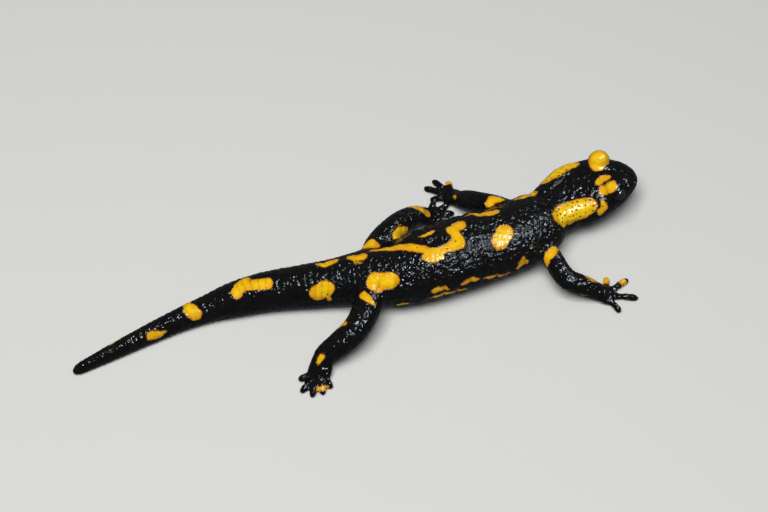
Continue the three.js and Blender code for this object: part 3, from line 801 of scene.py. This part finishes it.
UNMARKED = -9.0
marking = np.full(len(spots), UNMARKED)  # depth inside a marking, in millimetres
for patch in BODY_PATCHES:
    at, around, radii = np.array(patch, float).T
    marking = np.maximum(marking, inside_chain(spots, on_body(at, around), radii))
for side, at, out, high, radius in LID_PATCHES:
    off_centre = np.linalg.norm(spots - place(at, side * out, high), axis=1)
    marking = np.maximum(marking, radius - off_centre)

# On the right, a thin line along the crease at the lid's inner foot is left black between the lid and the
# patch on the crown: painted shade in the crease.
LID_FOOT = 1.04  # how far out from the lid's middle the crease runs, where the lid's own surface is 1
SHADE_LINE_HALF_WIDTH = 0.02
off_crease = np.abs(lid_outness(distance, -left, up) - LID_FOOT) * EYELID["wide"] - SHADE_LINE_HALF_WIDTH
by_crease = (left < 0) & (left > -4.6) & (distance < 13.4)
marking = np.where(by_crease, np.minimum(marking, off_crease), marking)
for name, patches in LIMB_PATCHES.items():
    for patch in patches:
        share, around, radii = np.array(patch, float).T
        marking = np.maximum(marking, inside_chain(spots, LEGS[name]["shape"](share, around), radii))
for name, number, first, last in YELLOW_TOES:
    start, end = LEGS[name]["toes"][number]
    length = np.linalg.norm(end - start)
    reached = (spots - start) @ (end - start) / length
    between = np.minimum(reached - first * length, last * length - reached)
    in_toe = inside_chain(spots, [start, end], [TOE_MARK_RADIUS, TOE_MARK_RADIUS])
    marking = np.maximum(marking, np.minimum(between, in_toe))

# Pores: dark pits of the poison glands, in loose rows over both parotoids and singly in other patches.
PORE_ROWS, PORES_IN_ROW = 5, 9
FIRST_PORE = (20.5, 31.0)  # distance from the snout, degrees from the middle of the back
PORE_SPACING, ROW_DEGREES, ROW_SLANT = 1.5, 8.5, 0.9  # the slant is degrees for each pore
PORE_STRAY = (0.35, 2.0)  # millimetres along a row, degrees across it
PORE_CLEARANCE = 1.25
PORE_RADIUS = (0.17, 0.3)
PORE_EDGE = (1.2, 0.7)  # where the dark of a pore begins and where it is full, in its radii
PORE_PIT = 0.12  # its depth
LONE_PORES = [
    (16.4, -61), (15.8, -80), (66.4, -8), (78, 3), (70, -14), (97, 8), (104, 35), (106.5, -66), (49.7, -22),
    (50.6, -34), (54, -41), (132, 6), (62.8, 80), (82, 72), (99.5, 62),
]
scatter = np.random.default_rng(7)
pores = []
for side in SIDES.values():
    for row in range(PORE_ROWS):
        for step in range(PORES_IN_ROW):
            at = FIRST_PORE[0] + (step + 0.5 * (row % 2)) * PORE_SPACING
            at += scatter.uniform(-PORE_STRAY[0], PORE_STRAY[0])
            across = FIRST_PORE[1] + row * ROW_DEGREES - ROW_SLANT * step
            across += scatter.uniform(-PORE_STRAY[1], PORE_STRAY[1])
            spot = on_body(np.array([at]), np.array([side * across]))[0]
            if all(np.linalg.norm(spot - other) > PORE_CLEARANCE for other in pores):
                pores.append(spot)
pores.extend(on_body(*np.array(LONE_PORES, float).T))
pore_offset = np.full((len(spots), 3), 9.0)  # from the nearest pore, in its radii
pore_gap = np.full(len(spots), FAR)
by_pore = np.zeros(len(spots))  # 1 close to a pore, where the finish looks for it
face_reach = np.where(distance < FINE_TO, 0.12, 0.45)  # faces are smaller on the head
for centre in pores:
    nearest = spots[np.linalg.norm(spots - centre, axis=1).argmin()]
    offset = spots - nearest
    gap = np.linalg.norm(offset, axis=1)
    radius = scatter.uniform(*PORE_RADIUS)
    closer = gap < pore_gap
    pore_gap[closer] = gap[closer]
    pore_offset[closer] = offset[closer] / radius
    by_pore[gap < PORE_EDGE[0] * radius + face_reach] = 1

pit = PORE_PIT * crease(np.linalg.norm(pore_offset, axis=1), 1) * (marking > 0.3)
spots -= normals * pit[:, None]
skin_mesh.vertices.foreach_set("co", (spots * MM).ravel())
skin_mesh.update()
for face in skin_mesh.polygons:
    face.use_smooth = True

# What the finish reads from the skin. "lie" is where a point lies: distance from the snout, way round the
# body, and 1 on the body or 0 on a limb.
girth = np.radians(degrees) * (full_width(distance) / 2)
for name, kind, entry, values in (
    ("marking", "FLOAT", "value", marking),
    ("fold", "FLOAT", "value", fold),
    ("pore", "FLOAT_VECTOR", "vector", pore_offset),
    ("by_pore", "FLOAT", "value", by_pore),
    ("lie", "FLOAT_VECTOR", "vector", np.stack([distance, girth, on_trunk], axis=-1)),
):
    skin_mesh.attributes.new(name, kind, "POINT").data.foreach_set(entry, values.ravel())

# Finish of the skin: black or yellow pigment under a film of slime, with granules that catch the light.
BLACK = (0.0030, 0.0028, 0.0030)
BLACK_WORN = (0.0075, 0.0064, 0.0058)
LEMON = (0.70, 0.47, 0.005)
ORANGE = (0.57, 0.24, 0.003)
EDGE_BROWN = (0.16, 0.055, 0.006)
PORE_BROWN = (0.02, 0.010, 0.005)
# painted shade: the amber that darkens the yellow in the creases of folds and rings
FOLD_SHADE = (0.36, 0.15, 0.003)
FOLD_ACROSS, FOLD_LONG = 1.35, 1.5  # the short folds that are drawn out of the granules, in millimetres
GRANULE, GRIT = 1.5, 0.4
RELIEF_HEIGHT = 0.75
GLOSS = (0.08, 0.15)  # roughness between the smoothest and the dullest film
YELLOW_DULLNESS = 0.1


def new_finish(name):
    """A material, its node tree and its surface shader."""
    finish = bpy.data.materials.new(name)
    finish.use_nodes = True
    return finish, finish.node_tree, finish.node_tree.nodes["Principled BSDF"]


def node(kind, **settings):
    """A node in the tree at hand, with its inputs and settings."""
    made = tree.nodes.new(kind)
    for key, value in settings.items():
        if key in made.inputs:
            made.inputs[key].default_value = value
        else:
            setattr(made, key, value)
    return made


def link(source, output, target, entry):
    tree.links.new(source.outputs[output], target.inputs[entry])


def ramp(source, output, low, high, low_value=0.0, high_value=1.0):
    """Maps a value smoothly from low..high to low_value..high_value."""
    ends = {"From Min": low, "From Max": high, "To Min": low_value, "To Max": high_value}
    made = node("ShaderNodeMapRange", interpolation_type="SMOOTHSTEP", **ends)
    link(source, output, made, "Value")
    return made


def mix_colours(share, first, second):
    """A colour between two, where each is a colour or another mix."""
    made = node("ShaderNodeMix", data_type="RGBA")
    link(share, 0, made, 0)
    for entry, colour in ((6, first), (7, second)):
        if isinstance(colour, tuple):
            made.inputs[entry].default_value = (*colour, 1)
        else:
            link(colour, 2, made, entry)
    return made


def calculate(operation, first, second):
    """Two values, each a number, a node or a node's output, added or multiplied and so on."""
    made = node("ShaderNodeMath", operation=operation)
    for entry, value in zip(made.inputs, (first, second)):
        if isinstance(value, (int, float)):
            entry.default_value = value
        else:
            tree.links.new(value if isinstance(value, bpy.types.NodeSocket) else value.outputs[0], entry)
    return made


def times(first, second):
    return calculate("MULTIPLY", first, second)


skin_finish, tree, surface = new_finish("wet skin")
coordinates = node("ShaderNodeTexCoord")
marking_in = node("ShaderNodeAttribute", attribute_name="marking")
pore_in = node("ShaderNodeAttribute", attribute_name="pore")
by_pore_in = node("ShaderNodeAttribute", attribute_name="by_pore")
fold_in = node("ShaderNodeAttribute", attribute_name="fold")
lie_in = node("ShaderNodeAttribute", attribute_name="lie")
lie_parts = node("ShaderNodeSeparateXYZ")
link(lie_in, "Vector", lie_parts, 0)


def speckle(size, detail=2.0, roughness=0.5):
    """Noise in lumps of the given size in millimetres."""
    made = node("ShaderNodeTexNoise", Scale=1000 / size, Detail=detail, Roughness=roughness)
    link(coordinates, "Object", made, "Vector")
    return made


# The edge of a patch wavers by about a third of a millimetre, and has a thin brown rim. Wide patches are
# lemon in the middle, and narrow ones are orange all over.
waver = times(calculate("SUBTRACT", speckle(1.6), 0.5), 1.2)
fine_waver = times(calculate("SUBTRACT", speckle(0.5), 0.5), 0.5)
depth = calculate("ADD", calculate("ADD", marking_in.outputs["Fac"], waver), fine_waver)
yellow = ramp(depth, 0, -0.04, 0.12)
rim = ramp(depth, 0, 0.05, 0.55)
mottle = ramp(speckle(3.2, 3), 0, 0.3, 0.7, 0.35, 1.0)
near_edge = ramp(depth, 0, 0.5, 2.6, 1.0, 0.2)
pigment = mix_colours(times(near_edge, mottle), LEMON, ORANGE)
# In the yellow, the costal grooves and the tail's rings are tinted amber: painted shade in the creases.
pigment = mix_colours(times(ramp(fold_in, "Fac", 0.25, 0.8), 0.55), pigment, FOLD_SHADE)
pigment = mix_colours(rim, EDGE_BROWN, pigment)
dark = mix_colours(ramp(speckle(2.4, 4), 0, 0.45, 0.8), BLACK, BLACK_WORN)
colour = mix_colours(yellow, dark, pigment)
pore_distance = node("ShaderNodeVectorMath", operation="LENGTH")
link(pore_in, "Vector", pore_distance, 0)
in_pore = times(ramp(pore_distance, "Value", *PORE_EDGE), by_pore_in.outputs["Fac"])
colour = mix_colours(times(in_pore, yellow), colour, PORE_BROWN)
link(colour, 2, surface, "Base Color")

# Soft granules cover the skin, each of which catches one glint. On trunk and tail they are drawn out into
# short folds across the body. On the yellow, the head and the tail they are lower.
rows = node("ShaderNodeCombineXYZ")
link(times(lie_parts.outputs[0], 1 / FOLD_ACROSS), 0, rows, 0)
link(times(lie_parts.outputs[1], 1 / FOLD_LONG), 0, rows, 1)
cross_folds = node("ShaderNodeTexNoise", noise_dimensions="2D", Scale=1.0, Detail=1.5, Roughness=0.45)
link(rows, 0, cross_folds, "Vector")
granules = node("ShaderNodeTexVoronoi", feature="SMOOTH_F1", Scale=1000 / GRANULE, Smoothness=0.7)
link(coordinates, "Object", granules, "Vector")
on_back = times(ramp(lie_parts, 0, 24, 36), ramp(lie_parts, 2, 0.3, 0.9))
lumps = calculate("SUBTRACT", speckle(GRANULE, 1.5, 0.45), times(calculate("POWER", granules, 2), 0.7))
relief = node("ShaderNodeMix", data_type="FLOAT")
link(on_back, 0, relief, "Factor")
link(lumps, 0, relief, "A")
link(times(cross_folds, 1.15), 0, relief, "B")
relief = calculate("ADD", relief, times(speckle(GRIT, 2), 0.09))
relief = times(relief, ramp(depth, 0, -0.2, 0.5, 1.0, 0.4))
relief = times(relief, ramp(lie_parts, 0, 3, 34, 0.45, 1.0))
relief = times(relief, ramp(lie_parts, 0, 95, 125, 1.0, 0.7))
relief = calculate("SUBTRACT", relief, times(in_pore, 0.3))
bump = node("ShaderNodeBump", Strength=1.0, Distance=RELIEF_HEIGHT * MM)
link(relief, 0, bump, "Height")
link(bump, 0, surface, "Normal")

film = ramp(speckle(1.1, 3), 0, 0.35, 0.75, *GLOSS)
link(calculate("ADD", film, ramp(depth, 0, -0.1, 0.3, 0.0, YELLOW_DULLNESS)), 0, surface, "Roughness")
surface.inputs["Specular IOR Level"].default_value = 0.32
surface.inputs["Coat Weight"].default_value = 0.02
surface.inputs["Coat Roughness"].default_value = 0.15
surface.inputs["Coat IOR"].default_value = 1.34
skin_mesh.materials.append(skin_finish)

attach(skin_piece, "root")
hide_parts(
    "head", "lower_jaw", "neck", "chest", "belly", "pelvis", "tail_base", "tail_middle",
    "tail_tip", *(
        f"{part}_{side}"
        for part in ("upper_arm", "forearm", "hand", "thigh", "shank", "foot") for side in SIDES
    ),
)

# ---- Eyes ------------------------------------------------------------------------------------------------
# Two moist globes set in the lids, nearly black, with a brown iris round a wide pupil that shows only close
# by. Real ones of glass are dropped in from behind; here each is a ball with a slightly bulging cornea.

CORNEA_DEGREES, CORNEA_BULGE = 52.0, 0.12
EYE_CLEARANCE = 0.05  # how much smaller an eyeball is than the round on which its lids are shaped
PUPIL_EDGE, IRIS_EDGE = (26, 30), (50, 44)  # degrees from the gaze over which each fades
IRIS_BROWN = (0.014, 0.006, 0.004)
EYE_BLACK = (0.006, 0.005, 0.005)

eye_finish, tree, surface = new_finish("moist eye")
coordinates = node("ShaderNodeTexCoord")
gaze_in = node("ShaderNodeAttribute", attribute_name="gaze")
in_iris = times(ramp(gaze_in, "Fac", *PUPIL_EDGE), ramp(gaze_in, "Fac", *IRIS_EDGE))
flecks = ramp(speckle(0.3, 3), 0, 0.3, 0.7, 0.35, 1.0)
link(mix_colours(times(in_iris, flecks), EYE_BLACK, IRIS_BROWN), 2, surface, "Base Color")
surface.inputs["Roughness"].default_value = 0.3
surface.inputs["Coat Weight"].default_value = 1.0
surface.inputs["Coat Roughness"].default_value = 0.05
surface.inputs["Coat IOR"].default_value = 1.38

for name, side in SIDES.items():
    centre, gaze, _ = eye_frame(side)
    globe = bmesh.new()
    bmesh.ops.create_uvsphere(globe, u_segments=96, v_segments=64, radius=1)
    off_axis = [math.degrees(math.acos(max(-1, min(1, vert.co.z)))) for vert in globe.verts]
    for vert, angle in zip(globe.verts, off_axis):
        bulge = CORNEA_BULGE * max(0, math.cos(math.radians(min(angle / CORNEA_DEGREES, 1) * 90)))
        vert.co *= EYE["radius"] - EYE_CLEARANCE + bulge
    turn = Vector((0, 0, 1)).rotation_difference(Vector(gaze)).to_matrix()
    bmesh.ops.rotate(globe, verts=globe.verts, cent=(0, 0, 0), matrix=turn)
    bmesh.ops.translate(globe, verts=globe.verts, vec=Vector(centre))
    bmesh.ops.scale(globe, verts=globe.verts, vec=(MM, MM, MM))
    eye_piece = make_piece(f"eyeball_{name}", globe)
    for face in eye_piece.data.polygons:
        face.use_smooth = True
    eye_piece.data.attributes.new("gaze", "FLOAT", "POINT").data.foreach_set("value", off_axis)
    eye_piece.data.materials.append(eye_finish)
    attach(eye_piece, "root")
    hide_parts(f"eye_{name}")

# ---- Floor, light and camera -----------------------------------------------------------------------------
# A plain pale studio floor, a broad soft light from above, and two soft windows that light nothing and are
# mirrored by the wet skin. The camera looks down on the animal from its right.

FLOOR_SIZE = 6.0
FLOOR_GREY = (0.5, 0.5, 0.49)
floor_shape = bmesh.new()
bmesh.ops.create_grid(floor_shape, x_segments=1, y_segments=1, size=FLOOR_SIZE / 2)
floor = make_piece("floor", floor_shape)
floor_finish, tree, surface = new_finish("pale floor")
surface.inputs["Base Color"].default_value = (*FLOOR_GREY, 1)
surface.inputs["Roughness"].default_value = 0.85
floor.data.materials.append(floor_finish)
floor.visible_glossy = False  # wet skin mirrors the dark of the room and not the pale floor

world = bpy.data.worlds.new("studio")
bpy.context.scene.world = world
world.use_nodes = True
room = world.node_tree.nodes["Background"]
room.inputs["Color"].default_value = (0.86, 0.93, 1.0, 1)
room.inputs["Strength"].default_value = 0.10

LOOK_AT = Vector((9.8, 12.1, 0)) * MM
VIEW_DISTANCE = 567 * MM
VIEW_ELEVATION, VIEW_TURN = math.radians(55), math.radians(21)  # above the floor, and from +Y towards +X


def lamp(name, stand, power, size, colour, lights=True, mirrored=True):
    """A square soft lamp turned to the animal, which lights it, is mirrored by it, or both."""
    light = bpy.data.lights.new(name, "AREA")
    light.energy, light.size, light.color = power, size, colour
    held = bpy.data.objects.new(name, light)
    held.location = stand
    held.rotation_euler = (LOOK_AT - Vector(stand)).to_track_quat("-Z", "Y").to_euler()
    held.visible_diffuse, held.visible_glossy = lights, mirrored
    bpy.context.scene.collection.objects.link(held)


lamp("broad light", (-0.2, -0.2, 1.0), 15.5, 0.6, (1.0, 0.99, 0.97), mirrored=False)
lamp("near window", (0.3, -0.3, 0.9), 12.0, 0.26, (0.74, 0.88, 1.0), lights=False)
lamp("far window", (0.65, 0.05, 0.75), 3.5, 0.2, (0.8, 0.9, 1.0), lights=False)

camera = bpy.data.cameras.new("camera")
camera.sensor_width = 36
camera.lens = 85
camera.clip_start = 0.01
camera_object = bpy.data.objects.new("camera", camera)
back = Vector((-math.sin(VIEW_TURN), -math.cos(VIEW_TURN), math.tan(VIEW_ELEVATION))).normalized()
camera_object.location = LOOK_AT + back * VIEW_DISTANCE
camera_object.rotation_euler = (-back).to_track_quat("-Z", "Y").to_euler()
bpy.context.scene.collection.objects.link(camera_object)
bpy.context.scene.camera = camera_object
bpy.context.scene.view_settings.view_transform = "Standard"
